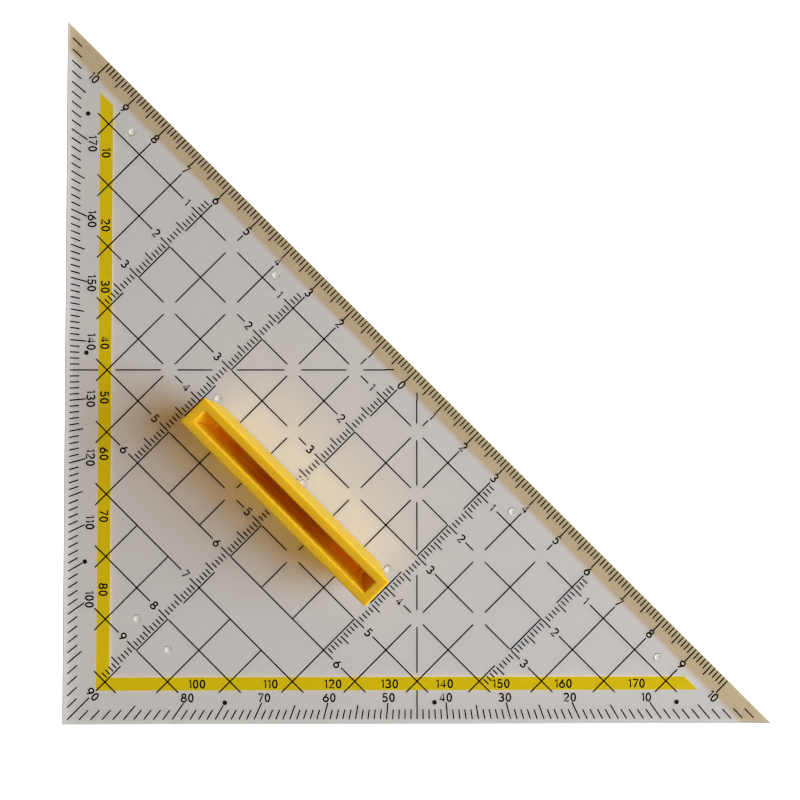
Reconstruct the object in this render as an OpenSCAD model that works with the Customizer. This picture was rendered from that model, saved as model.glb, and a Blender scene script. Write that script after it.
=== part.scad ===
// Set square with a protractor, printed on its underside, and a pull-off bar handle.
// X runs along the ruling edge from its zero mark, the sheet lies towards -Y, and Z = 0 is the paper.

/* [Sheet] */
// Half of the ruling edge, from its zero mark to a tip
half_edge = 113; // [90:0.5:150]
// Thickness of the clear sheet
sheet_t = 3; // [2:0.1:5]
// Width of the bevel along the ruling edge
bevel_w = 5; // [3:0.1:6]
// Thickness that the bevel leaves at the ruling edge
edge_t = 2.5; // [1:0.1:2.8]

/* [Ink pips] */
// Diameter of a pip on the underside
pip_d = 2.2; // [1.5:0.1:3]
// Height of a pip, which lifts the print off the paper
pip_h = 0.5; // [0.4:0.05:1]
// Distance of the front pips from the ruling edge
front_pip_v = 7.5; // [7:0.1:9]
// Distance of the outer front pips from the tips, along the ruling edge
tip_pip_in = 28; // [25:0.5:35]
// Distance of the inner front pips from the middle
front_pip_u = 38.3; // [35:0.1:42]
// Distance of the rear pips from the right-angled corner
rear_pip_in = 28; // [24:0.1:30]
// Distance of the rear pips from the middle
rear_pip_u = 5; // [4:0.1:8]

/* [Handle] */
// Distance of the handle's middle line from the ruling edge
handle_v = 40.5; // [36:0.5:44]
// Length of the handle at its rim
handle_top_l = 55.7; // [54:0.1:58]
// Length of the handle at its foot
handle_foot_l = 51; // [50:0.1:53]
// Width of the handle
handle_w = 7.4; // [6.6:0.1:9]
// Height of the handle above the sheet
handle_h = 14; // [9:0.5:20]
// Thickness of the long walls at the rim
side_wall = 2.05; // [1.6:0.05:2.4]
// Thickness of the end walls
end_wall = 2.25; // [1.5:0.05:3]
// Amount by which each long wall thickens towards the floor
wall_draft = 0.75; // [0.2:0.05:0.9]
// Thickness of the floor
floor_t = 2; // [1:0.1:4]
// Radius that rounds the outside of the rim
rim_r = 0.5; // [0.2:0.05:0.9]

/* [Pegs] */
// Distance of each peg's middle from the handle's middle
peg_u = 18.8; // [12:0.1:20]
// Length of the core that is sunk into a peg
core_l = 8; // [6:0.1:9.5]
// Width of the core that is sunk into a peg
core_w = 2.4; // [1.6:0.1:2.6]
// Thickness that closes a peg below its core
core_floor = 0.6; // [0.4:0.1:1.5]
// Wall of a peg round its core
peg_wall = 0.9; // [0.6:0.05:1.1]
// Distance by which a peg ends short of the sheet's underside
peg_short = 0.3; // [0.1:0.05:0.8]
// Clearance between a peg and its slot, on each side
peg_gap = 0.1; // [0.05:0.01:0.2]
// Clearance between the handle's foot and the sheet
seat_gap = 0.05; // [0.02:0.01:0.1]

/* [Print] */
// Width of every printed line
line_w = 0.3; // [0.2:0.02:0.4]
// Thickness of the printed film
ink_t = 0.05; // [0.02:0.01:0.06]
// Space between the sheet and the black film, and between the two films
film_gap = 0.02; // [0.01:0.01:0.04]
// Distance of the millimetre ticks from the ruling edge
edge_tick_in = 0.2; // [0.1:0.05:0.6]
// Distance of the degree ticks from the legs
degree_in = 0.7; // [0.3:0.05:1]
// Distance from the legs to the outer side of the stripe
stripe_out = 7.2; // [6.8:0.05:8]
// Width of the stripe
stripe_w = 2.95; // [2:0.05:3.5]
// Distance from the ruling edge to the ends of the stripe and of the grid
grid_in = 6.3; // [6:0.1:8]
// Diameter of the dots at three marked angles
dot_d = 1.05; // [0.6:0.05:1.2]
// Distance of the dots from the legs
dot_in = 4.45; // [4.1:0.05:4.8]
// Half of the gap where two grid lines leave their crossing open
crossing_gap = 1.9; // [1:0.1:2.5]
// Height at which the two inner height scales stop
inner_scale_end = 60; // [50:10:60]

/* [Hidden] */
$fn = 48;

black = [0.12, 0.10, 0.09];
yellow = [0.86, 0.74, 0.06];
amber = [0.94, 0.70, 0.08];
clear_grey = [0.80, 0.80, 0.78, 0.45];

cm = 10;
slant = sqrt(2);
over = 1;

// Levels, from the paper upwards
sheet_z = pip_h;
top_z = sheet_z + sheet_t;
foot_z = top_z + seat_gap;
black_z = sheet_z - film_gap - ink_t;
yellow_z = black_z - film_gap - ink_t;

// Sheet
bevel_slope = (sheet_t - edge_t) / bevel_w;
pip_r = (pow(pip_d / 2, 2) + pow(pip_h, 2)) / (2 * pip_h);
handle_pip_out = 2;
handle_pip_v = handle_v - handle_w / 2;
pip_pairs = [
    [half_edge - tip_pip_in, front_pip_v],
    [front_pip_u, front_pip_v],
    [handle_foot_l / 2 + handle_pip_out, handle_pip_v],
    [rear_pip_u, half_edge - rear_pip_in]
];
pips = [[0, handle_pip_v], for (side = [-1, 1], p = pip_pairs) [side * p[0], p[1]]];

// Handle
flare = (handle_top_l - handle_foot_l) / 2;
mouth_l = handle_top_l - 2 * end_wall;
mouth_w = handle_w - 2 * side_wall;
floor_l = mouth_l - 2 * flare * (handle_h - floor_t) / handle_h;
floor_w = mouth_w - 2 * wall_draft;
peg_l = core_l + 2 * peg_wall;
peg_w = core_w + 2 * peg_wall;
peg_depth = sheet_t + seat_gap - peg_short;

// Print
stripe_in = stripe_out + stripe_w;
print_margin = 0.4;
grid_past_stripe = 0.5;
grid_reach = half_edge - (stripe_out - grid_past_stripe) * slant;
tip_margin = 8;
scale_end = cm * floor((half_edge - tip_margin) / cm);
edge_ticks = [2.2, 3.2, 3.9];
degree_ticks = [2.85, 3.85, 4.4];
corner_tick = 5.65;
dot_angles = [7, 42, 75];
half_right = 45;

// Height scales stand on the grid's lines at 0, 3 and 6 cm on both sides
scale_step = 3;
scale_steps = 2;
scale_start = 7;
scale_stop = 4.5;
scale_break = 15;
scale_break_l = 5;
least_run = 1;
height_ticks = [1.9, 3.0];
height_tick_off = [0.41, 0.5];
numeral_out = 5.7;

// Squares of the grid whose crossings are open, and the strip left free between two lines
open_columns = 5;
open_rows = 5;
free_columns = 2;
free_from = 60;
free_to = 70;

// Half-right lines
diagonal_start = 3.7;
diagonal_past_stripe = 0.6;
diagonal_break = [29, 33];

function tick_length(mm, lengths) =
    mm % 10 == 0 ? lengths[2] : mm % 5 == 0 ? lengths[1] : lengths[0];

// Point on the ray at an angle from the zero mark that lies a distance inside the leg
function on_ray(angle, inside) =
    let (r = (half_edge - inside * slant) / (abs(cos(angle)) + sin(angle)))
    [r * cos(angle), r * sin(angle)];

// Last millimetre of the height scale at a column
function scale_last(column) =
    let (free = floor(grid_reach - abs(column) * cm - scale_stop))
    abs(column) == scale_step ? min(free, inner_scale_end) : free;

// End of the grid's upright line at a column, which stops at the stripe's corner in the middle
function upright_end(column) =
    column == 0 ? half_edge - stripe_out * slant : grid_reach - abs(column) * cm;

// Point of the half-right line at a distance along the ruling edge
function on_half_right(along) = [along, along * tan(half_right)];

function has_scale(column) =
    column % scale_step == 0 && abs(column) <= scale_step * scale_steps;

// Side of its line on which a height scale has its ticks and numerals
function scale_side(column) = column > 0 ? 1 : -1;

// Straight printed line between two points given as distances along and from the ruling edge
module line(from, to, width = line_w) {
    run = to - from;
    translate([from[0], -from[1]])
        rotate(atan2(-run[1], run[0]))
            translate([0, -width / 2])
                square([norm(run), width]);
}

// Places that the print leaves free round the slots and the pips
module print_free() {
    peg_places(print_margin);
    at_pips()
        circle(d = pip_d + 2 * print_margin);
}

module film(z) {
    translate([0, 0, z])
        linear_extrude(ink_t)
            children();
}

// Cap of a sphere whose tip stands on the paper and whose root is in the sheet
module pip() {
    intersection() {
        translate([0, 0, pip_r])
            sphere(pip_r);
        cylinder(d = pip_d, h = pip_h + sheet_t / 2);
    }
}

module at_pips() {
    for (place = pips)
        translate([place[0], -place[1], 0])
            children();
}

// Box on the sheet over each peg, larger than the peg by a margin on each side
module peg_places(margin) {
    for (side = [-1, 1])
        translate([side * peg_u, -handle_v])
            square([peg_l + 2 * margin, peg_w + 2 * margin], center = true);
}

module plate() {
    color(clear_grey)
    union() {
        difference() {
            translate([0, 0, sheet_z])
                linear_extrude(sheet_t)
                    polygon([[-half_edge, 0], [half_edge, 0], [0, -half_edge]]);
            rotate([90, 0, 90])
                linear_extrude(2 * (half_edge + over), center = true)
                    polygon([
                        [over, sheet_z + edge_t - bevel_slope * over],
                        [-bevel_w - over, top_z + bevel_slope * over],
                        [over, top_z + bevel_slope * over]
                    ]);
            translate([0, 0, sheet_z - over])
                linear_extrude(sheet_t + 2 * over)
                    peg_places(peg_gap);
        }
        at_pips()
            pip();
    }
}

// Upright bar outline from foot to rim with leaning ends and rounded upper corners
module bar_outline(foot, rim, height, r) {
    lean = (rim - foot) / 2 / height;
    stretch = sqrt(1 + lean * lean);
    centre = [foot / 2 + lean * (height - r) - r * stretch, height - r];
    touch = centre + r * [1, -lean] / stretch;
    for (side = [0, 1])
        mirror([side, 0])
            union() {
                polygon([[0, 0], [foot / 2, 0], touch, centre + [0, r], [0, height]]);
                translate(centre)
                    circle(r);
            }
}

module cavity_outline(bottom, mouth) {
    rise = (mouth - bottom) / 2 / (handle_h - floor_t);
    polygon([
        [-bottom / 2, floor_t],
        [bottom / 2, floor_t],
        [mouth / 2 + rise * over, handle_h + over],
        [-mouth / 2 - rise * over, handle_h + over]
    ]);
}

// Puts an outline drawn upright along the handle's length
module along_handle(depth) {
    rotate([90, 0, 0])
        linear_extrude(depth, center = true)
            children();
}

// Puts an outline drawn upright across the handle's width
module across_handle(depth) {
    rotate([90, 0, 90])
        linear_extrude(depth, center = true)
            children();
}

module handle() {
    color(amber)
    translate([0, 0, foot_z])
    difference() {
        union() {
            translate([0, -handle_v, 0])
                intersection() {
                    along_handle(handle_w + over)
                        bar_outline(handle_foot_l, handle_top_l, handle_h, rim_r);
                    across_handle(handle_top_l + over)
                        bar_outline(handle_w, handle_w, handle_h, rim_r);
                }
            translate([0, 0, -peg_depth])
                linear_extrude(peg_depth + floor_t / 2)
                    peg_places(0);
        }
        translate([0, -handle_v, 0])
            intersection() {
                along_handle(handle_w + over)
                    cavity_outline(floor_l, mouth_l);
                across_handle(handle_top_l + over)
                    cavity_outline(floor_w, mouth_w);
            }
        translate([0, 0, core_floor - peg_depth])
            linear_extrude(peg_depth + handle_h)
                peg_places(-peg_wall);
    }
}

module degree_stripe() {
    outer = half_edge - stripe_out * slant;
    inner = half_edge - stripe_in * slant;
    color(yellow)
    film(yellow_z)
        polygon([
            [-outer + grid_in, -grid_in],
            [0, -outer],
            [outer - grid_in, -grid_in],
            [inner - grid_in, -grid_in],
            [0, -inner],
            [-inner + grid_in, -grid_in]
        ]);
}

module edge_scale() {
    color(black)
    film(black_z)
        for (mm = [-scale_end : scale_end])
            line([mm, edge_tick_in], [mm, tick_length(mm, edge_ticks)]);
}

module degree_scale() {
    color(black)
    film(black_z)
        for (angle = [1 : 179])
            if (angle != half_right && angle != 180 - half_right)
                line(
                    on_ray(angle, angle == 90 ? corner_tick : tick_length(angle, degree_ticks)),
                    on_ray(angle, degree_in)
                );
}

module angle_dots() {
    color(black)
    film(black_z)
        for (side = [-1, 1], angle = dot_angles) {
            place = on_ray(angle, dot_in);
            translate([side * place[0], -place[1]])
                circle(d = dot_d);
        }
}

// Eight-sided opening that ends lines of all directions at one distance from a crossing
module open_crossing(column, row) {
    flat = 180 / 8;
    translate([column * cm, -row * cm])
        rotate(flat)
            circle(crossing_gap / cos(flat), $fn = 8);
}

// Room beside a height scale for the numeral on one of the grid's rows
module numeral_room(column, row) {
    middle = column * cm + scale_side(column) * (height_ticks[1] + numeral_out) / 2;
    translate([middle, -row * cm])
        square([numeral_out - height_ticks[1], 2 * line_w], center = true);
}

module grid_lines(width) {
    columns = floor((grid_reach - grid_in) / cm);
    rows = floor(grid_reach / cm);
    for (column = [-columns : columns])
        line([column * cm, grid_in], [column * cm, upright_end(column)], width);
    for (row = [1 : rows])
        line([row * cm - grid_reach, row * cm], [grid_reach - row * cm, row * cm], width);
}

module square_grid() {
    color(black)
    film(black_z)
        difference() {
            grid_lines(line_w);
            for (column = [-open_columns : open_columns], row = [1 : open_rows])
                if ((column + row) % 2 == 0 && column % scale_step != 0
                    && abs(column) + row < open_columns + open_rows)
                    open_crossing(column, row);
            for (column = [-scale_step * scale_steps : scale_step : scale_step * scale_steps]) {
                for (row = [1 : floor(scale_last(column) / cm)])
                    numeral_room(column, row);
                for (start = [scale_break : scale_break : scale_last(column) - least_run])
                    translate([column * cm - line_w, -start - scale_break_l])
                        square([2 * line_w, scale_break_l]);
            }
            for (column = [-free_columns : free_columns])
                if (!has_scale(column))
                    translate([column * cm - line_w, line_w / 2 - free_to])
                        square([2 * line_w, free_to - free_from - line_w]);
            print_free();
        }
}

module height_tick(column, mm) {
    kind = mm % 5 == 0 ? 1 : 0;
    side = scale_side(column);
    line(
        [column * cm + side * height_tick_off[kind], mm],
        [column * cm + side * height_ticks[kind], mm]
    );
}

module height_scales() {
    color(black)
    film(black_z)
        difference() {
            for (column = [-scale_step * scale_steps : scale_step : scale_step * scale_steps])
                for (mm = [scale_start : scale_last(column)])
                    if (mm % cm != 0)
                        height_tick(column, mm);
            print_free();
        }
}

module half_right_lines() {
    color(black)
    film(black_z)
        for (side = [-1, 1])
            mirror([side > 0 ? 0 : 1, 0])
                difference() {
                    union() {
                        line(on_ray(half_right, stripe_out), on_ray(half_right, degree_in));
                        line(on_half_right(diagonal_start), on_half_right(diagonal_break[0]));
                        line(
                            on_half_right(diagonal_break[1]),
                            on_ray(half_right, stripe_in + diagonal_past_stripe)
                        );
                    }
                    for (row = [1 : open_rows])
                        if (row % scale_step != 0)
                            open_crossing(row, row);
                    grid_lines(line_w + 2 * print_margin);
                }
}

plate();
handle();
degree_stripe();
edge_scale();
degree_scale();
angle_dots();
square_grid();
height_scales();
half_right_lines();
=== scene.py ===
"""Looks of a clear set square: acrylic sheet, bar handle, printed scales and their studio."""
import math

import bmesh
import bpy
from bpy.props import FloatProperty, FloatVectorProperty, PointerProperty
from mathutils import Euler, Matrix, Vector


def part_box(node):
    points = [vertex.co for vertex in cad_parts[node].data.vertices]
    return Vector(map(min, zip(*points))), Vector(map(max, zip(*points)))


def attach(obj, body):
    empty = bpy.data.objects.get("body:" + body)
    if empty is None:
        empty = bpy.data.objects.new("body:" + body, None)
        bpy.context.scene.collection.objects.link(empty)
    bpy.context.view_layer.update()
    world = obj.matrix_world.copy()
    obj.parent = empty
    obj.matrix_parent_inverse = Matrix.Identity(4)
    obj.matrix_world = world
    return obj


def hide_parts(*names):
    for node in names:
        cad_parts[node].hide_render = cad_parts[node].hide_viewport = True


bl_info = {
    "name": "Set square with protractor",
    "version": (1, 0, 0),
    "blender": (4, 5, 0),
    "location": "3D View > Sidebar > Set square",
    "description": "Builds the clear sheet, the bar handle, the printed scales and a studio",
    "category": "Object",
}

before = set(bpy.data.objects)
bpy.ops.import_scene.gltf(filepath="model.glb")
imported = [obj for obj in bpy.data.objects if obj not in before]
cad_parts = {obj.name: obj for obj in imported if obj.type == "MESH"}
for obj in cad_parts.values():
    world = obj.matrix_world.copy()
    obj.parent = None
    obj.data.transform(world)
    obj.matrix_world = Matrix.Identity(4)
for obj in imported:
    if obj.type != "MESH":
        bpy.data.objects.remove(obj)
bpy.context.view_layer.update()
MM = 0.001
CM = 10 * MM
# Faces and edges that are chosen by their place may lie off it by this much.
HAIR = 0.01 * MM
# A tool that cuts stands this far past the face that it opens.
OVERSHOOT = 1 * MM

SHEET_LOW, SHEET_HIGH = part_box("plate")
HANDLE_LOW, HANDLE_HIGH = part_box("handle")
INK_LOW, INK_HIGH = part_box("edge_scale")
# The zero mark is the origin. The tips and the right-angled corner all lie this far from it.
HALF_EDGE = SHEET_HIGH.x
HANDLE_Y = (HANDLE_LOW.y + HANDLE_HIGH.y) / 2
HANDLE_WIDTH = HANDLE_HIGH.y - HANDLE_LOW.y
BLACK_FILMS = ["edge_scale", "degree_scale", "angle_dots", "square_grid", "height_scales",
               "half_right_lines"]
YELLOW_FILM = "degree_stripe"

# Refractive index of acrylic, and the share of light that its frosted faces let through.
ACRYLIC_IOR = 1.49
FROST_CLEAR = "#F0F0F0"
# Colour of the window light that a leg turns down.
SPILL = "#DCEAFF"
WHITE = "#FFFFFF"
# Brightness of the patches in each finish, as a share of its colour.
SCRATCHED, CLOUDED, THIN_BLACK, THIN_YELLOW = 0.86, 0.93, 1.5, 0.94
# Material slots of the sheet after the first one, which is clear: sawn walls, and pip tips with a
# painted bright spot.
SAWN, PIP_SPOT = 1, 2
# A face looks towards an axis where its normal has at least this much of it.
TOWARDS = 0.3


def linear(colour):
    """Linear RGBA of an sRGB hex colour such as #D8A614."""
    levels = [int(colour[i:i + 2], 16) / 255 for i in (1, 3, 5)]
    return (*[c / 12.92 if c <= 0.04045 else ((c + 0.055) / 1.055) ** 2.4 for c in levels], 1.0)


def dimmed(colour, share):
    """A linear colour whose levels are multiplied by a share."""
    return tuple(min(1.0, c * share) for c in colour[:3]) + (1.0,)


def length(name, description, millimetres):
    """A size that the sidebar shows in scene units."""
    return FloatProperty(name=name, description=description, default=millimetres * MM,
                         unit="LENGTH", precision=5)


def shade(name, description, colour):
    """A colour that the sidebar shows as a swatch."""
    return FloatVectorProperty(name=name, description=description, default=linear(colour),
                               size=4, min=0, max=1, subtype="COLOR")


def amount(name, description, value, **options):
    """A strength or a share, which is no size."""
    return FloatProperty(name=name, description=description, default=value, **options)


class SheetSettings(bpy.types.PropertyGroup):
    """Sizes and tints of the clear sheet."""
    thickness: length("Thickness", "Thickness of the acrylic sheet", 3)
    bevel_width: length("Bevel width", "Width of the bevel along the ruling edge", 5)
    edge_height: length("Edge height", "Height that the bevel leaves at the ruling edge", 2.5)
    broken_edge: length("Broken edge", "Width of the small chamfer on the sharp edges", 0.1)
    leg_chamfer: length("Leg chamfer", "Width of the chamfer on the upper edges of the legs", 0.5)
    slot_gap: length("Slot gap", "Clearance between a peg and its slot", 0.1)
    pip_diameter: length("Pip diameter", "Diameter of an ink pip at the underside", 2.2)
    pip_from_tip: length("Pip from tip", "From a tip to its pip and from the corner to its two", 28)
    pip_from_edge: length("Pip from edge", "From the ruling edge to the pips along it", 7.5)
    pip_from_zero: length("Pip from zero", "From the zero mark to the nearer pips along it", 38.3)
    pip_from_axis: length("Pip from axis", "From the sheet's axis to the two rear pips", 5)
    pip_from_handle: length("Pip from handle", "From the handle's ends to the pips beside them", 2)
    # The pips' tips carry a painted bright spot and glow, for the light each dome gathers on the
    # paper.
    rubbed_height: length("Rubbed height", "Height of a pip's tip that paper has rubbed", 0.2)
    tint: shade("Sheet tint", "What the clear sheet lets through", "#F4F3F4")
    # The bevel's tan is painted: it stands for the warm room that the bevel bends into view.
    bevel_tint: shade("Bevel tint", "What the bevelled strip lets through", "#E6D2AE")
    strip_inset: length("Strip inset", "From the bevel's border to that of the tan strip", 0.5)
    strip_fade: length("Strip fade", "Width over which the tan strip fades out", 1.5)
    strip_drift: length("Strip drift", "How far the tan strip's border wanders", 0.3)
    frost: shade("Frost", "Colour of the sawn walls of the legs", "#909092")
    # Strength of the painted glow on the sawn walls.
    frost_shine: amount("Frost shine", "Light from inside that leaves the sawn walls", 0.37)
    leg_glow: amount("Leg glow", "Window light that leaves the far leg low down", 2.1)
    leg_glow_height: length("Leg glow height", "How far up the far leg glows", 0.5)
    # Colour and glow of the painted bright spot on the pips' tips, for the light each dome gathers
    # on the paper below.
    scuff: shade("Scuff", "Colour of the tips of the pips, which paper has rubbed", "#EAE6E2")
    scuff_shine: amount("Scuff shine", "Light from inside that leaves the pips' tips", 0.13)


class HandleSettings(bpy.types.PropertyGroup):
    """Sizes and colours of the moulded handle."""
    height: length("Height", "Height of the handle above the sheet", 14)
    foot_length: length("Foot length", "Length of the handle where it stands on the sheet", 51)
    rim_length: length("Rim length", "Length of the handle at its rim before rounding", 55.7)
    side_wall: length("Side wall", "Thickness of the long walls at the rim", 2.05)
    end_wall: length("End wall", "Thickness of the end walls", 2.25)
    draft: length("Draft", "How much thicker each long wall gets towards the floor", 0.75)
    floor: length("Floor", "Thickness of the cavity's floor", 2)
    rim_radius: length("Rim radius", "Radius on the rim's outside and the upright corners", 0.5)
    mouth_radius: length("Mouth radius", "Radius on the inside of the rim", 0.25)
    peg_place: length("Peg place", "Distance of each peg from the middle of the handle", 18.8)
    core_length: length("Core length", "Length of the core that is sunk into a peg", 8)
    core_width: length("Core width", "Width of the core that is sunk into a peg", 2.4)
    core_floor: length("Core floor", "Thickness that closes a peg below its core", 0.6)
    peg_wall: length("Peg wall", "Wall of a peg round its core", 0.9)
    colour: shade("Plastic", "Colour of the moulded plastic", "#E2BA2A")
    # Where and how deep the mouth gets painted shade, and the colour of that painted shade.
    mouth_middle: length("Mouth middle", "From the handle's middle to where the mouth pales", 8)
    mouth_depth: length("Mouth depth", "Depth at which the mouth's colour is full", 4)
    mouth_colour: shade("Mouth", "Colour of the plastic deep in the mouth", "#A86E0A")
    glow: shade("Glow", "Light that one skin of the plastic lets through", "#D6B464")
    soak: shade("Soaked light", "Colour of light that soaks through the walls", "#F0D658")
    soak_strength: amount("Soaked light strength", "How brightly it leaves the foot", 2.6)
    soak_height: length("Soaked light height", "How far up the walls soaked light leaves them", 4.5)
    soak_shade: amount("Soaked light in shade", "Share that leaves the wall away from the window",
                       0.65, subtype="FACTOR", min=0, max=1)
    bounce: shade("Bounced light", "Colour of light that the plastic sends back", "#E0B236")


class PrintSettings(bpy.types.PropertyGroup):
    """Sizes and colours of the printed scales."""
    height: length("Numeral height", "Height of the numerals", 2.12)
    stroke: length("Numeral stroke", "Width of the strokes of the numerals", 0.36)
    edge_row: length("Edge row", "From the ruling edge to the centimetre numerals", 4.95)
    height_row: length("Height row", "From a height scale's line to its numerals", 4.4)
    outer_row: length("Outer row", "From the legs to the outer degree numerals", 5.55)
    inner_row: length("Inner row", "From the legs to the inner degree numerals", 8.65)
    corner_row: length("Corner row", "From the ruling edge to the right angle's numeral", 103.9)
    black: shade("Black ink", "Colour of the scales", "#17130F")
    yellow: shade("Yellow ink", "Colour of the stripe behind the inner degrees", "#FDDE10")


class StageSettings(bpy.types.PropertyGroup):
    """Camera, floor and lamps of the studio."""
    lens: amount("Lens", "Focal length on a 36 mm sensor", 45.225, unit="CAMERA")
    place: FloatVectorProperty(
        name="Camera place", description="Where the camera stands", subtype="TRANSLATION",
        default=(0.45 * MM, -12.85 * MM, 231.2 * MM))
    turn: FloatVectorProperty(
        name="Camera turn", description="How the camera is turned", subtype="EULER",
        default=[math.radians(a) for a in (1.495, -0.384, 44.991)])
    shift: FloatVectorProperty(
        name="Lens shift", description="How far the frame lies off the lens's axis", size=2,
        default=(0.0186, -0.0189))
    floor: shade("Floor", "Colour of the pale floor", "#ECE9E7")
    lift: amount("Floor lift", "Light that the bare floor adds of itself", 1.2)
    key: amount("Key lamp", "Power of the window-like lamp", 24.6, unit="POWER")
    daylight: shade("Daylight", "Colour of the window-like lamp", "#E5F3FF")
    near_wall: amount("Window wall", "Light from the wall that has the window", 1.0)
    far_wall: amount("Far wall", "Light from the wall across the room", 0.5)
    ceiling: amount("Ceiling", "Share of the walls' light that the ceiling gives", 0.08)
    lamplight: shade("Lamplight", "Colour of the light of the room", "#FFDD98")


def deselect():
    """Leaves edit mode and selects nothing."""
    if bpy.context.object and bpy.context.object.mode != "OBJECT":
        bpy.ops.object.mode_set(mode="OBJECT")
    bpy.ops.object.select_all(action="DESELECT")


def block(low, high):
    """A box between two corners, with its place in its mesh."""
    deselect()
    low, high = Vector(low), Vector(high)
    bpy.ops.mesh.primitive_cube_add(size=1, location=(low + high) / 2, scale=high - low)
    bpy.ops.object.transform_apply(location=True, rotation=True, scale=True)
    return bpy.context.object


def activate(piece):
    """Makes one piece the only selected one."""
    deselect()
    piece.select_set(True)
    bpy.context.view_layer.objects.active = piece


def copy_to(piece, place, turn=0.0):
    """A copy of a piece with its own mesh, at a place and turned about the upright axis."""
    activate(piece)
    bpy.ops.object.duplicate()
    copy = bpy.context.object
    copy.location = place
    copy.rotation_euler = (0, 0, turn)
    return copy


def select_parts(piece, kind, test):
    """Goes to edit mode and selects the faces or edges that pass a test."""
    activate(piece)
    bpy.ops.object.mode_set(mode="EDIT")
    bpy.ops.mesh.select_mode(type="FACE" if kind == "faces" else "EDGE")
    bpy.ops.mesh.select_all(action="DESELECT")
    mesh = bmesh.from_edit_mesh(piece.data)
    for part in getattr(mesh, kind):
        if test(part):
            part.select_set(True)
    bmesh.update_edit_mesh(piece.data)


def apply_modifier(piece, kind, **settings):
    """Adds a modifier with its settings and applies it."""
    activate(piece)
    modifier = piece.modifiers.new(kind.title(), kind)
    for name, value in settings.items():
        setattr(modifier, name, value)
    bpy.ops.object.modifier_apply(modifier=modifier.name)


def combine(piece, tool, operation):
    """Cuts a tool out of a piece or fuses it on, and removes the tool."""
    apply_modifier(piece, "BOOLEAN", operation=operation, solver="EXACT", object=tool)
    bpy.data.objects.remove(tool)


def join(parts):
    """Joins separate objects into the first one."""
    deselect()
    for part in parts:
        part.select_set(True)
    bpy.context.view_layer.objects.active = parts[0]
    bpy.ops.object.join()
    bpy.ops.object.transform_apply(location=True, rotation=True, scale=True)
    return bpy.context.object


def finish_piece(piece, name, materials, body, slot, *replaced):
    """Names a piece, gives it its finish and puts it on its body in place of the plain solids."""
    piece.name = name
    piece.data.name = name
    for material in materials:
        piece.data.materials.append(material)
    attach(piece, body)
    if replaced:
        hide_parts(*replaced)


def add_node(tree, kind, inputs=None, **settings):
    """Adds a node, sets its options, and sets or links its inputs."""
    node = tree.nodes.new(kind)
    for name, value in settings.items():
        setattr(node, name, value)
    for name, value in (inputs or {}).items():
        if isinstance(value, bpy.types.NodeSocket):
            tree.links.new(value, node.inputs[name])
        else:
            node.inputs[name].default_value = value
    return node


def new_material(name):
    """An empty node material and its output."""
    material = bpy.data.materials.new(name)
    material.use_nodes = True
    tree = material.node_tree
    tree.nodes.clear()
    return material, tree, tree.nodes.new("ShaderNodeOutputMaterial")


def split_rays(tree, output, seen, to_lamps, to_bounces):
    """Ends a material that is one thing to the eye, one to lamp rays and one to bounced rays."""
    path = add_node(tree, "ShaderNodeLightPath")
    lamps = add_node(tree, "ShaderNodeMixShader", {
        0: path.outputs["Is Shadow Ray"], 1: seen.outputs[0], 2: to_lamps.outputs[0]})
    bounces = add_node(tree, "ShaderNodeMixShader", {
        0: path.outputs["Is Diffuse Ray"], 1: lamps.outputs[0], 2: to_bounces.outputs[0]})
    tree.links.new(bounces.outputs[0], output.inputs["Surface"])


def lumps(millimetres):
    """Scale of a noise pattern whose lumps are this wide."""
    return 1 / (millimetres * MM)


def cast_acrylic(settings):
    """Clear cast acrylic, faintly warm; the bevel gets painted tan for the warm room it refracts.
    """
    material, tree, output = new_material("cast_acrylic")
    coords = add_node(tree, "ShaderNodeTexCoord")
    # Cast sheet is never quite flat: its waves are about as long as a finger is wide.
    waves = add_node(tree, "ShaderNodeTexNoise", {
        "Vector": coords.outputs["Object"], "Scale": lumps(16), "Detail": 2.0})
    place = add_node(tree, "ShaderNodeSeparateXYZ", {"Vector": coords.outputs["Object"]})
    drift = add_node(tree, "ShaderNodeMath", {
        0: waves.outputs["Fac"], 1: settings.strip_drift, 2: place.outputs["Y"]},
        operation="MULTIPLY_ADD")
    # The painted tan strip lies along the bevel, and its border wanders with the waves.
    border = settings.strip_inset - settings.bevel_width
    strip = add_node(tree, "ShaderNodeMapRange", {
        "Value": drift.outputs["Value"], "From Min": border - settings.strip_fade / 2,
        "From Max": border + settings.strip_fade / 2}, interpolation_type="SMOOTHSTEP")
    tint = add_node(tree, "ShaderNodeMix", {
        "Factor": strip.outputs["Result"], 6: settings.tint, 7: settings.bevel_tint},
        data_type="RGBA")
    glass = add_node(tree, "ShaderNodeBsdfPrincipled", {
        "Base Color": tint.outputs[2], "Roughness": 0.0, "IOR": ACRYLIC_IOR,
        "Transmission Weight": 1.0})
    # Lamps and bounced light go straight through, because bent light is too slow to trace.
    open_to_light = add_node(tree, "ShaderNodeBsdfTransparent", {"Color": settings.tint})
    split_rays(tree, output, glass, open_to_light, open_to_light)
    return material


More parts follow.
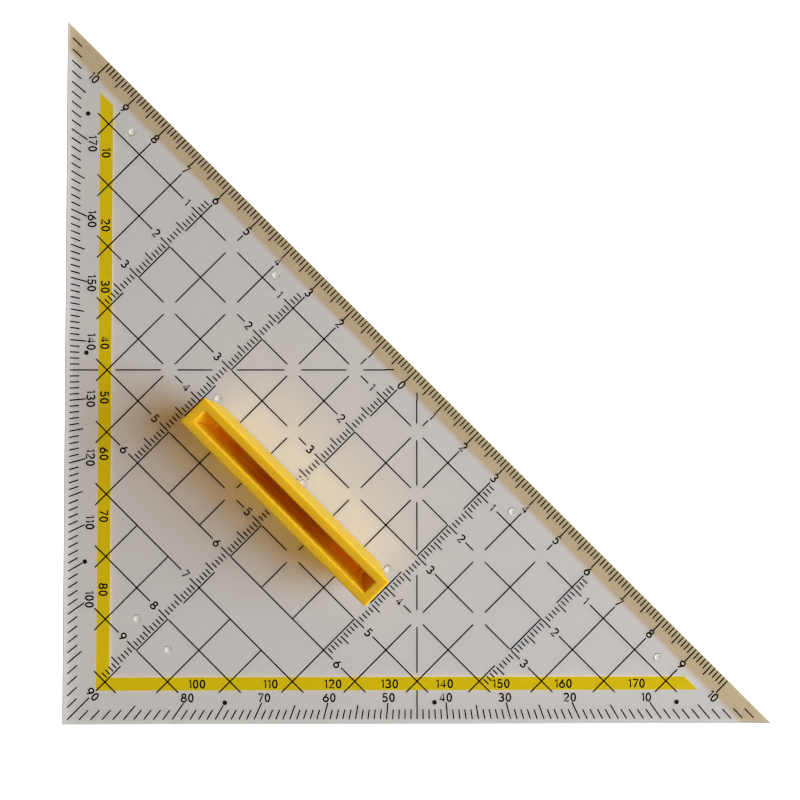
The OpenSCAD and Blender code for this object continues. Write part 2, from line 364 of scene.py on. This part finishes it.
def frosted_acrylic(name, colour, shine, glow=0.0, glow_top=0.0):
    """Acrylic scratched by the saw, scattering light like frost, with a painted glow; on pip tips,
    a painted bright spot.
    """
    material, tree, output = new_material(name)
    coords = add_node(tree, "ShaderNodeTexCoord")
    # Scratches are a few hundredths of a millimetre wide, and are drawn coarser, so that they show.
    marks = add_node(tree, "ShaderNodeTexNoise", {
        "Vector": coords.outputs["Object"], "Scale": lumps(1.1), "Detail": 3.0})
    tone = add_node(tree, "ShaderNodeMix", {
        "Factor": marks.outputs["Fac"], 6: dimmed(colour, SCRATCHED), 7: colour},
        data_type="RGBA")
    # The emission is a painted glow, for light from inside the sheet that the scratches scatter
    # out.
    frost = add_node(tree, "ShaderNodeBsdfPrincipled", {
        "Base Color": tone.outputs[2], "Roughness": 0.55, "IOR": ACRYLIC_IOR,
        "Emission Color": linear(WHITE), "Emission Strength": shine})
    open_to_light = add_node(tree, "ShaderNodeBsdfTransparent", {"Color": linear(FROST_CLEAR)})
    bounced = open_to_light
    if glow:
        # The far leg turns window light that crosses the sheet down on to the paper. That light
        # is not traced, so bounced rays see a glow low on that leg.
        place = add_node(tree, "ShaderNodeSeparateXYZ", {"Vector": coords.outputs["Object"]})
        far = add_node(tree, "ShaderNodeMath", {0: place.outputs["X"], 1: 0.0},
                       operation="LESS_THAN")
        low = add_node(tree, "ShaderNodeMath", {0: place.outputs["Z"], 1: glow_top},
                       operation="LESS_THAN")
        low_far = add_node(tree, "ShaderNodeMath", {0: far.outputs[0], 1: low.outputs[0]},
                           operation="MULTIPLY")
        strength = add_node(tree, "ShaderNodeMath", {0: low_far.outputs[0], 1: glow},
                            operation="MULTIPLY")
        spill = add_node(tree, "ShaderNodeEmission", {
            "Color": linear(SPILL), "Strength": strength.outputs[0]})
        bounced = add_node(tree, "ShaderNodeAddShader", {
            0: open_to_light.outputs[0], 1: spill.outputs[0]})
    split_rays(tree, output, frost, open_to_light, bounced)
    return material


def moulded_plastic(settings):
    """Amber yellow polystyrene, moulded satin: light soaks in, and the mouth gets painted shade."""
    material, tree, output = new_material("moulded_polystyrene")
    coords = add_node(tree, "ShaderNodeTexCoord")
    # The pigment flows into the mould in clouds about twice as wide as a wall is thick.
    cloud = add_node(tree, "ShaderNodeTexNoise", {
        "Vector": coords.outputs["Object"], "Scale": lumps(4.5), "Detail": 3.0})
    colour = add_node(tree, "ShaderNodeMix", {
        "Factor": cloud.outputs["Fac"], 6: dimmed(settings.colour, CLOUDED), 7: settings.colour},
        data_type="RGBA")
    # The walls of the mouth light each other more often than rays are traced, so its middle gets
    # painted shade: a darker, deeper orange.
    place = add_node(tree, "ShaderNodeSeparateXYZ", {"Vector": coords.outputs["Object"]})
    off_middle = add_node(tree, "ShaderNodeMath", {0: place.outputs["Y"], 1: HANDLE_Y},
                          operation="SUBTRACT")
    aside = add_node(tree, "ShaderNodeMath", {0: off_middle.outputs[0]}, operation="ABSOLUTE")
    half_width = HANDLE_HIGH.y - HANDLE_Y
    between = add_node(tree, "ShaderNodeMath", {
        0: aside.outputs[0], 1: half_width - settings.side_wall}, operation="LESS_THAN")
    along = add_node(tree, "ShaderNodeMath", {0: place.outputs["X"]}, operation="ABSOLUTE")
    from_end = add_node(tree, "ShaderNodeMapRange", {
        "Value": along.outputs[0], "From Min": settings.foot_length / 2 - settings.end_wall,
        "From Max": settings.mouth_middle})
    depth = add_node(tree, "ShaderNodeMapRange", {
        "Value": place.outputs["Z"], "From Min": HANDLE_HIGH.z,
        "From Max": HANDLE_HIGH.z - settings.mouth_depth})
    deep_middle = add_node(tree, "ShaderNodeMath", {
        0: from_end.outputs["Result"], 1: depth.outputs["Result"]}, operation="MULTIPLY")
    mouth_shade_mask = add_node(tree, "ShaderNodeMath", {
        0: between.outputs[0], 1: deep_middle.outputs[0]}, operation="MULTIPLY")
    colour_and_shade = add_node(tree, "ShaderNodeMix", {
        "Factor": mouth_shade_mask.outputs[0], 6: colour.outputs[2], 7: settings.mouth_colour},
        data_type="RGBA")
    # The satin skin has pits of about 0.05 mm, which are drawn wider, so that they show.
    skin = add_node(tree, "ShaderNodeTexNoise", {
        "Vector": coords.outputs["Object"], "Scale": lumps(0.4), "Detail": 2.0})
    bump = add_node(tree, "ShaderNodeBump", {
        "Height": skin.outputs["Fac"], "Strength": 0.12, "Distance": 0.05 * MM})
    # Satin, and a little duller where the pigment is dense.
    gloss = add_node(tree, "ShaderNodeMapRange", {
        "Value": cloud.outputs["Fac"], "To Min": 0.42, "To Max": 0.54})
    # Red light gets furthest in the plastic and blue light hardly enters it.
    plastic = add_node(tree, "ShaderNodeBsdfPrincipled", {
        "Base Color": colour_and_shade.outputs[2], "Roughness": gloss.outputs["Result"], "IOR": 1.45,
        "Normal": bump.outputs["Normal"], "Subsurface Weight": 1.0,
        "Subsurface Radius": (1.0, 0.6, 0.06), "Subsurface Scale": 2.0 * MM})
    soaked = add_node(tree, "ShaderNodeBsdfTransparent", {"Color": settings.glow})
    # Light that soaks through the walls is not traced for bounced rays, so that on the outside
    # they see an amber glow.
    outside = add_node(tree, "ShaderNodeMath", {
        0: aside.outputs[0], 1: half_width - settings.rim_radius}, operation="GREATER_THAN")
    foot = HANDLE_HIGH.z - settings.height
    low = add_node(tree, "ShaderNodeMapRange", {
        "Value": place.outputs["Z"], "From Min": foot, "From Max": foot + settings.soak_height,
        "To Min": settings.soak_strength, "To Max": 0.0})
    to_window = add_node(tree, "ShaderNodeMath", {0: off_middle.outputs[0], 1: 0.0},
                         operation="GREATER_THAN")
    share = add_node(tree, "ShaderNodeMapRange", {
        "Value": to_window.outputs[0], "To Min": settings.soak_shade})
    shared = add_node(tree, "ShaderNodeMath", {
        0: outside.outputs[0], 1: share.outputs["Result"]}, operation="MULTIPLY")
    strength = add_node(tree, "ShaderNodeMath", {
        0: shared.outputs[0], 1: low.outputs["Result"]}, operation="MULTIPLY")
    skin_light = add_node(tree, "ShaderNodeBsdfDiffuse", {"Color": settings.bounce})
    soak_light = add_node(tree, "ShaderNodeEmission", {
        "Color": settings.soak, "Strength": strength.outputs[0]})
    lit = add_node(tree, "ShaderNodeAddShader", {
        0: skin_light.outputs[0], 1: soak_light.outputs[0]})
    split_rays(tree, output, plastic, soaked, lit)
    return material


def printed_ink(name, colour, thin):
    """Screen ink on the underside of the sheet: flat, and in places it lies a little thinner."""
    material, tree, output = new_material(name)
    coords = add_node(tree, "ShaderNodeTexCoord")
    # The screen's threads lie about 0.1 mm apart. Their marks are drawn coarser, so that they show.
    cover = add_node(tree, "ShaderNodeTexNoise", {
        "Vector": coords.outputs["Object"], "Scale": lumps(2.5), "Detail": 4.0})
    tone = add_node(tree, "ShaderNodeMix", {
        "Factor": cover.outputs["Fac"], 6: colour, 7: dimmed(colour, thin)}, data_type="RGBA")
    ink = add_node(tree, "ShaderNodeBsdfPrincipled", {
        "Base Color": tone.outputs[2], "Roughness": 0.6, "IOR": 1.45, "Specular IOR Level": 0.1})
    tree.links.new(ink.outputs[0], output.inputs["Surface"])
    return material


def pale_floor(settings):
    """Matt white studio floor that is lifted to pure white where the sheet does not cover it."""
    material, tree, output = new_material("studio_floor")
    paper = add_node(tree, "ShaderNodeBsdfDiffuse", {"Color": settings.floor})
    coords = add_node(tree, "ShaderNodeTexCoord")
    place = add_node(tree, "ShaderNodeSeparateXYZ", {"Vector": coords.outputs["Object"]})
    side = add_node(tree, "ShaderNodeMath", {0: place.outputs["X"]}, operation="ABSOLUTE")
    past_leg = add_node(tree, "ShaderNodeMath", {0: side.outputs[0], 1: place.outputs["Y"]},
                        operation="SUBTRACT")
    past_edge = add_node(tree, "ShaderNodeMath", {0: place.outputs["Y"], 1: HALF_EDGE},
                         operation="ADD")
    past = add_node(tree, "ShaderNodeMath", {0: past_leg.outputs[0], 1: past_edge.outputs[0]},
                    operation="MAXIMUM")
    bare = add_node(tree, "ShaderNodeMath", {0: past.outputs[0], 1: HALF_EDGE},
                    operation="GREATER_THAN")
    path = add_node(tree, "ShaderNodeLightPath")
    seen = add_node(tree, "ShaderNodeMath", {
        0: path.outputs["Is Camera Ray"], 1: bare.outputs[0]}, operation="MULTIPLY")
    lift = add_node(tree, "ShaderNodeMath", {0: seen.outputs[0], 1: settings.lift},
                    operation="MULTIPLY")
    glow = add_node(tree, "ShaderNodeEmission", {"Strength": lift.outputs[0]})
    both = add_node(tree, "ShaderNodeAddShader", {0: paper.outputs[0], 1: glow.outputs[0]})
    tree.links.new(both.outputs[0], output.inputs["Surface"])
    return material


def peg_boxes(handle, margin, low, high):
    """A box at each peg's place, larger than the peg by a margin on each side."""
    half_x = handle.core_length / 2 + handle.peg_wall + margin
    half_y = handle.core_width / 2 + handle.peg_wall + margin
    return join([
        block((x - half_x, HANDLE_Y - half_y, low), (x + half_x, HANDLE_Y + half_y, high))
        for x in (-handle.peg_place, handle.peg_place)
    ])


class SETSQUARE_OT_sheet(bpy.types.Operator):
    """Saws, mills and slots the clear sheet and moulds its ink pips on"""
    bl_idname = "setsquare.sheet"
    bl_label = "Clear sheet"

    def execute(self, context):
        settings = context.scene.set_square_sheet
        handle = context.scene.set_square_handle
        underside = SHEET_HIGH.z - settings.thickness
        sheet = block((-HALF_EDGE, SHEET_LOW.y, underside), SHEET_HIGH)
        for side in (-1, 1):
            self.saw(sheet, (side * HALF_EDGE, 0, 0), (side, -1, 0))
        select_parts(sheet, "edges", self.tops_leg)
        bpy.ops.mesh.bevel(offset=settings.leg_chamfer, segments=1, affect="EDGES")
        rise = settings.thickness - settings.edge_height
        self.saw(sheet, (0, 0, underside + settings.edge_height), (0, rise, settings.bevel_width))
        slots = peg_boxes(handle, settings.slot_gap, SHEET_LOW.z, 2 * SHEET_HIGH.z)
        combine(sheet, slots, "DIFFERENCE")
        apply_modifier(sheet, "BEVEL", width=settings.broken_edge, segments=1,
                       limit_method="ANGLE", angle_limit=math.radians(30))
        combine(sheet, self.pips(settings, handle, underside), "UNION")
        select_parts(sheet, "faces", lambda face: face.calc_center_median().z < underside - HAIR)
        bpy.ops.mesh.faces_shade_smooth()
        glow_top = underside + settings.leg_glow_height
        finishes = [
            cast_acrylic(settings),
            frosted_acrylic("sawn_acrylic", settings.frost, settings.frost_shine,
                            settings.leg_glow, glow_top),
            # The pips' tips get a painted bright spot and glow, for the light each dome gathers on
            # the paper below.
            frosted_acrylic("scuffed_acrylic", settings.scuff, settings.scuff_shine),
        ]
        finish_piece(sheet, "clear_sheet", finishes, "sheet", "acrylic", "plate")
        self.assign(sheet, SAWN, lambda face: self.faces_leg(face)
                    and face.calc_center_median().z > underside)
        # The painted bright spot covers each pip's lowest cap.
        rubbed = SHEET_LOW.z + settings.rubbed_height
        self.assign(sheet, PIP_SPOT, lambda face: face.calc_center_median().z < rubbed)
        return {"FINISHED"}

    def tops_leg(self, edge):
        """Whether an edge of the upper face runs along a leg, aslant to the ruling edge."""
        start, end = (v.co for v in edge.verts)
        upper = min(start.z, end.z) > SHEET_HIGH.z - HAIR
        return upper and abs((start - end).normalized().x) < math.cos(math.radians(30))

    def faces_leg(self, face):
        """Whether a face looks out past a leg, as its wall and its chamfers do."""
        return face.normal.y < -TOWARDS and abs(face.normal.x) > TOWARDS

    def assign(self, sheet, slot, test):
        """Gives the faces that pass a test the material of a slot."""
        select_parts(sheet, "faces", test)
        sheet.active_material_index = slot
        bpy.ops.object.material_slot_assign()
        deselect()

    def saw(self, sheet, point, outward):
        """Cuts off what lies outside a plane and closes the cut."""
        activate(sheet)
        bpy.ops.object.mode_set(mode="EDIT")
        bpy.ops.mesh.select_all(action="SELECT")
        bpy.ops.mesh.bisect(plane_co=point, plane_no=Vector(outward).normalized(),
                            use_fill=True, clear_outer=True)
        bpy.ops.object.mode_set(mode="OBJECT")

    def pips(self, settings, handle, underside):
        """Balls whose lowest cap stands out of the underside."""
        drop = underside - SHEET_LOW.z
        radius = ((settings.pip_diameter / 2) ** 2 + drop ** 2) / (2 * drop)
        beside_handle = handle.foot_length / 2 + settings.pip_from_handle
        pairs = [(HALF_EDGE - settings.pip_from_tip, settings.pip_from_edge),
                 (settings.pip_from_zero, settings.pip_from_edge),
                 (beside_handle, -HANDLE_HIGH.y),
                 (settings.pip_from_axis, HALF_EDGE - settings.pip_from_tip)]
        places = [(0, -HANDLE_HIGH.y)] + [(side * x, y) for side in (-1, 1) for x, y in pairs]
        deselect()
        bpy.ops.mesh.primitive_uv_sphere_add(segments=48, ring_count=32, radius=radius)
        ball = bpy.context.object
        balls = [copy_to(ball, (x, -y, SHEET_LOW.z + radius)) for x, y in places]
        bpy.data.objects.remove(ball)
        return join(balls)


class SETSQUARE_OT_handle(bpy.types.Operator):
    """Moulds the hollow bar handle with its rounded rim and its two cored pegs"""
    bl_idname = "setsquare.handle"
    bl_label = "Bar handle"

    def execute(self, context):
        settings = context.scene.set_square_handle
        rim = HANDLE_HIGH.z
        foot = rim - settings.height
        bar = self.tapered((settings.foot_length, HANDLE_WIDTH, foot),
                           (settings.rim_length, HANDLE_WIDTH, rim))
        select_parts(bar, "edges", lambda edge: max(v.co.z for v in edge.verts) > rim - HAIR)
        bpy.ops.mesh.bevel(offset=settings.rim_radius, segments=5, affect="EDGES")
        mouth_l = settings.rim_length - 2 * settings.end_wall
        mouth_w = HANDLE_WIDTH - 2 * settings.side_wall
        depth = settings.height - settings.floor
        lean = (settings.rim_length - settings.foot_length) / settings.height
        top_l = mouth_l + lean * OVERSHOOT
        top_w = mouth_w + 2 * settings.draft * OVERSHOOT / depth
        cavity = self.tapered(
            (mouth_l - lean * depth, mouth_w - 2 * settings.draft, foot + settings.floor),
            (top_l, top_w, rim + OVERSHOOT))
        combine(bar, cavity, "DIFFERENCE")
        select_parts(bar, "edges", lambda edge: all(
            v.co.z > rim - HAIR and abs(v.co.x) < top_l / 2
            and abs(v.co.y - HANDLE_Y) < top_w / 2 for v in edge.verts))
        bpy.ops.mesh.bevel(offset=settings.mouth_radius, segments=4, affect="EDGES")
        pegs = peg_boxes(settings, 0, HANDLE_LOW.z, foot + settings.floor / 2)
        combine(bar, pegs, "UNION")
        cores = peg_boxes(settings, -settings.peg_wall, HANDLE_LOW.z + settings.core_floor,
                          rim + OVERSHOOT)
        combine(bar, cores, "DIFFERENCE")
        activate(bar)
        bpy.ops.object.shade_smooth_by_angle(angle=math.radians(35))
        apply_modifier(bar, "WEIGHTED_NORMAL", keep_sharp=True)
        finish_piece(bar, "bar_handle", [moulded_plastic(settings)], "grip", "handle_plastic",
                     "handle")
        return {"FINISHED"}

    def tapered(self, lower, upper):
        """A bar between two level faces, each given by its length, its width and its height."""
        (low_l, low_w, low), (high_l, high_w, high) = lower, upper
        bar = block((-low_l / 2, HANDLE_Y - low_w / 2, low),
                    (low_l / 2, HANDLE_Y + low_w / 2, high))
        select_parts(bar, "faces", lambda face: face.normal.z > TOWARDS)
        bpy.ops.transform.resize(value=(high_l / low_l, high_w / low_w, 1),
                                 center_override=(0, HANDLE_Y, high))
        deselect()
        return bar


class SETSQUARE_OT_print(bpy.types.Operator):
    """Gives the printed films their ink"""
    bl_idname = "setsquare.print"
    bl_label = "Printed films"

    def execute(self, context):
        settings = context.scene.set_square_print
        black = printed_ink("black_screen_ink", settings.black, THIN_BLACK)
        yellow = printed_ink("yellow_screen_ink", settings.yellow, THIN_YELLOW)
        for name in BLACK_FILMS + [YELLOW_FILM]:
            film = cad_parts[name]
            film.data.materials.clear()
            film.data.materials.append(yellow if name == YELLOW_FILM else black)
            film.visible_shadow = False
        return {"FINISHED"}


def arc(x, y, rx, ry, start, end):
    """Points of an elliptic arc between two angles in degrees, about every 18 degrees."""
    steps = max(4, round(abs(end - start) / 18))
    angles = [math.radians(start + (end - start) * i / steps) for i in range(steps + 1)]
    return [(x + rx * math.cos(a), y + ry * math.sin(a)) for a in angles]


def ring(x, y, rx, ry):
    """Points of a whole ellipse, without the last one, which is the first."""
    return arc(x, y, rx, ry, 0, 360)[:-1]


# Middle lines of plain round numerals one unit high. Each stroke is a list of points and whether
# it closes.
STROKES = {
    "0": [(ring(0.3, 0.5, 0.2, 0.41), True)],
    "1": [([(0.09, 0.76), (0.25, 0.91), (0.25, 0.09)], False)],
    "2": [(arc(0.31, 0.69, 0.21, 0.22, 165, -38) + [(0.1, 0.09), (0.55, 0.09)], False)],
    "3": [(arc(0.3, 0.71, 0.19, 0.2, 155, -80) + arc(0.3, 0.3, 0.23, 0.21, 80, -155), False)],
    "4": [([(0.42, 0.09), (0.42, 0.91), (0.08, 0.3), (0.56, 0.3)], False)],
    "5": [([(0.5, 0.91), (0.19, 0.91), (0.14, 0.53)]
           + arc(0.3, 0.34, 0.23, 0.25, 125, -150), False)],
    "6": [(ring(0.32, 0.33, 0.23, 0.24), True), ([(0.44, 0.91), (0.12, 0.43)], False)],
    "7": [([(0.09, 0.91), (0.53, 0.91), (0.21, 0.09)], False)],
    "8": [(ring(0.32, 0.71, 0.18, 0.2), True), (ring(0.32, 0.3, 0.23, 0.21), True)],
    "9": [(ring(0.32, 0.67, 0.23, 0.24), True), ([(0.2, 0.09), (0.52, 0.57)], False)],
}
# How much wider than that they are drawn.
WIDENING = 1.12
# Widths of the digits and the space after each one, in shares of the numerals' height.
ADVANCE = {"0": 0.67, "1": 0.4, "7": 0.66}
USUAL_ADVANCE = 0.71
SPACE = 0.06
# Centimetre marks of the ruling edge that carry a height scale, each with its last numeral.
HEIGHT_SCALES = {-6: 3, -3: 6, 0: 9, 3: 6, 6: 3}


def draw_digit(digit, settings):
    """A digit of flat ink strokes, standing on its own origin."""
    curve = bpy.data.curves.new("digit_" + digit, "CURVE")
    curve.dimensions = "3D"
    curve.bevel_depth = settings.stroke / 2
    curve.bevel_resolution = 1
    curve.use_fill_caps = True
    for points, closed in STROKES[digit]:
        spline = curve.splines.new("POLY")
        spline.points.add(len(points) - 1)
        for point, (x, y) in zip(spline.points, points):
            point.co = (WIDENING * x * settings.height, y * settings.height, 0, 1)
        spline.use_cyclic_u = closed
    drawn = bpy.data.objects.new("digit_" + digit, curve)
    bpy.context.scene.collection.objects.link(drawn)
    activate(drawn)
    bpy.ops.object.convert(target="MESH")
    bpy.ops.object.mode_set(mode="EDIT")
    bpy.ops.mesh.select_all(action="SELECT")
    flattening = (INK_HIGH.z - INK_LOW.z) / settings.stroke
    bpy.ops.transform.resize(value=(1, 1, flattening), center_override=(0, 0, 0))
    deselect()
    return drawn


def print_numerals(settings, name, labels):
    """Prints labels, each a number with its middle and its turn, as one film of ink."""
    drawn = {digit: draw_digit(digit, settings) for digit in STROKES}
    level = (INK_LOW.z + INK_HIGH.z) / 2
    copies = []
    for number, middle, turn in labels:
        digits = str(number)
        widths = [ADVANCE.get(digit, USUAL_ADVANCE) for digit in digits]
        pen = -(sum(widths) + SPACE * (len(digits) - 1)) / 2
        for digit, width in zip(digits, widths):
            # A label is placed by its middle, so half of its height lies below that.
            offset = Vector((pen, -0.5, 0)) * settings.height
            offset.rotate(Euler((0, 0, turn)))
            copies.append(copy_to(drawn[digit], Vector((*middle, level)) + offset, turn))
            pen += width + SPACE
    for digit in drawn.values():
        bpy.data.objects.remove(digit)
    film = join(copies)
    film.visible_shadow = False
    finish_piece(film, name, [bpy.data.materials["black_screen_ink"]], "sheet", "black_ink")


class SETSQUARE_OT_numerals(bpy.types.Operator):
    """Prints the numbers of the centimetre, height and degree scales"""
    bl_idname = "setsquare.numerals"
    bl_label = "Numerals"

    def execute(self, context):
        settings = context.scene.set_square_print
        edge = [(abs(n), (n * CM, -settings.edge_row), 0) for n in range(-10, 11)]
        print_numerals(settings, "edge_numerals", edge)
        heights = []
        for column, last in HEIGHT_SCALES.items():
            side = 1 if column > 0 else -1
            x = column * CM + side * settings.height_row
            heights += [(n, (x, -n * CM), 0) for n in range(1, last + 1)]
        print_numerals(settings, "height_numerals", heights)
        degrees = [(90, (0, -settings.corner_row), 0)]
        for angle in range(10, 180, 10):
            if angle != 90:
                turn = math.radians(45 if angle < 90 else -45)
                degrees.append((angle, self.on_ray(angle, settings.outer_row), turn))
                degrees.append((180 - angle, self.on_ray(angle, settings.inner_row), turn))
        print_numerals(settings, "degree_numerals", degrees)
        return {"FINISHED"}

    def on_ray(self, angle, inside):
        """Point on the ray at an angle from the zero mark that lies a distance inside the leg."""
        along, down = math.cos(math.radians(angle)), math.sin(math.radians(angle))
        reach = (HALF_EDGE - inside * math.sqrt(2)) / (abs(along) + down)
        return reach * along, -reach * down


class SETSQUARE_OT_stage(bpy.types.Operator):
    """Lays the floor and sets up the lamp, the room light and the camera"""
    bl_idname = "setsquare.stage"
    bl_label = "Studio"

    def execute(self, context):
        settings = context.scene.set_square_stage
        deselect()
        self.lay_floor(settings)
        middle_of_sheet = Vector((0, -40 * MM, 0))
        self.hang_window(settings, middle_of_sheet, azimuth=37, elevation=32, distance=1.2,
                         wide=0.8, tall=1.2)
        self.light_room(context.scene, settings)
        self.stand_camera(context.scene, settings)
        context.scene.view_settings.view_transform = "Standard"
        cycles = context.scene.cycles
        cycles.caustics_reflective = True
        cycles.caustics_refractive = False
        # Seen along the sheet, light runs to and fro between its faces many times before it leaves.
        cycles.max_bounces = 128
        cycles.glossy_bounces = 128
        cycles.transmission_bounces = 128
        cycles.diffuse_bounces = 6
        cycles.filter_width = 1.2
        cycles.use_denoising = True
        return {"FINISHED"}

    def lay_floor(self, settings):
        """A floor of 4 m, which reaches past the frame of low views."""
        bpy.ops.mesh.primitive_plane_add(size=4, location=(0, 0, 0))
        floor = bpy.context.object
        floor.name = "studio_floor"
        floor.data.materials.append(pale_floor(settings))

    def hang_window(self, settings, target, azimuth, elevation, distance, wide, tall):
        """A soft lamp like a window, which looks at a target from two angles in degrees."""
        turn, rise = math.radians(azimuth), math.radians(elevation)
        away = Vector((math.cos(rise) * math.cos(turn), math.cos(rise) * math.sin(turn),
                       math.sin(rise)))
        bpy.ops.object.light_add(type="AREA", location=target + distance * away,
                                 rotation=away.to_track_quat("Z", "Y").to_euler())
        lamp = bpy.context.object
        lamp.name = "key_lamp"
        # A mirror image of the window in the polished sheet would hide the print from the sides.
        lamp.visible_glossy = False
        lamp.visible_transmission = False
        lamp.data.shape = "RECTANGLE"
        lamp.data.size, lamp.data.size_y = wide, tall
        lamp.data.energy = settings.key
        lamp.data.color = settings.daylight[:3]

    def light_room(self, scene, settings):
        """Warm light from the walls, less from the ceiling, and plain white for the eye."""
        scene.world = bpy.data.worlds.new("room")
        scene.world.use_nodes = True
        tree = scene.world.node_tree
        tree.nodes.clear()
        coords = add_node(tree, "ShaderNodeTexCoord")
        way = add_node(tree, "ShaderNodeSeparateXYZ", {"Vector": coords.outputs["Generated"]})
        height = add_node(tree, "ShaderNodeMapRange", {
            "Value": way.outputs["Z"], "To Min": 1.0, "To Max": settings.ceiling})
        side = add_node(tree, "ShaderNodeMapRange", {"Value": way.outputs["Y"], "From Min": -1.0})
        wall = add_node(tree, "ShaderNodeMapRange", {
            "Value": side.outputs["Result"], "To Min": settings.far_wall,
            "To Max": settings.near_wall})
        level = add_node(tree, "ShaderNodeMath", {
            0: height.outputs["Result"], 1: wall.outputs["Result"]}, operation="MULTIPLY")
        room = add_node(tree, "ShaderNodeBackground", {
            "Color": settings.lamplight, "Strength": level.outputs[0]})
        backdrop = add_node(tree, "ShaderNodeBackground", {
            "Color": linear(WHITE), "Strength": 1.0})
        path = add_node(tree, "ShaderNodeLightPath")
        both = add_node(tree, "ShaderNodeMixShader", {
            0: path.outputs["Is Camera Ray"], 1: room.outputs[0], 2: backdrop.outputs[0]})
        add_node(tree, "ShaderNodeOutputWorld", {"Surface": both.outputs[0]})

    def stand_camera(self, scene, settings):
        """The camera at the photograph's place, without depth of field."""
        bpy.ops.object.camera_add(location=settings.place, rotation=settings.turn)
        scene.camera = bpy.context.object
        scene.camera.name = "camera"
        lens = scene.camera.data
        lens.lens = settings.lens
        lens.sensor_width = 36
        lens.shift_x, lens.shift_y = settings.shift
        lens.clip_start = 1 * CM


class SETSQUARE_PT_panel(bpy.types.Panel):
    """Sizes, colours and steps of the set square"""
    bl_idname = "SETSQUARE_PT_panel"
    bl_label = "Set square"
    bl_space_type = "VIEW_3D"
    bl_region_type = "UI"
    bl_category = "Set square"

    def draw(self, context):
        for group, operators in STEPS:
            box = self.layout.box()
            settings = getattr(context.scene, group)
            for name in settings.__annotations__:
                box.prop(settings, name)
            for operator in operators:
                box.operator(operator.bl_idname)


GROUPS = {
    "set_square_sheet": SheetSettings,
    "set_square_handle": HandleSettings,
    "set_square_print": PrintSettings,
    "set_square_stage": StageSettings,
}
STEPS = [
    ("set_square_stage", [SETSQUARE_OT_stage]),
    ("set_square_print", [SETSQUARE_OT_print, SETSQUARE_OT_numerals]),
    ("set_square_sheet", [SETSQUARE_OT_sheet]),
    ("set_square_handle", [SETSQUARE_OT_handle]),
]
OPERATORS = [operator for _, operators in STEPS for operator in operators]
CLASSES = [*GROUPS.values(), *OPERATORS, SETSQUARE_PT_panel]


def register():
    for cls in CLASSES:
        bpy.utils.register_class(cls)
    for name, group in GROUPS.items():
        setattr(bpy.types.Scene, name, PointerProperty(type=group))


def unregister():
    for name in GROUPS:
        delattr(bpy.types.Scene, name)
    for cls in reversed(CLASSES):
        bpy.utils.unregister_class(cls)


def main():
    register()
    bpy.ops.setsquare.stage()
    bpy.ops.setsquare.print()
    bpy.ops.setsquare.numerals()
    bpy.ops.setsquare.sheet()
    bpy.ops.setsquare.handle()


if __name__ == "__main__":
    main()
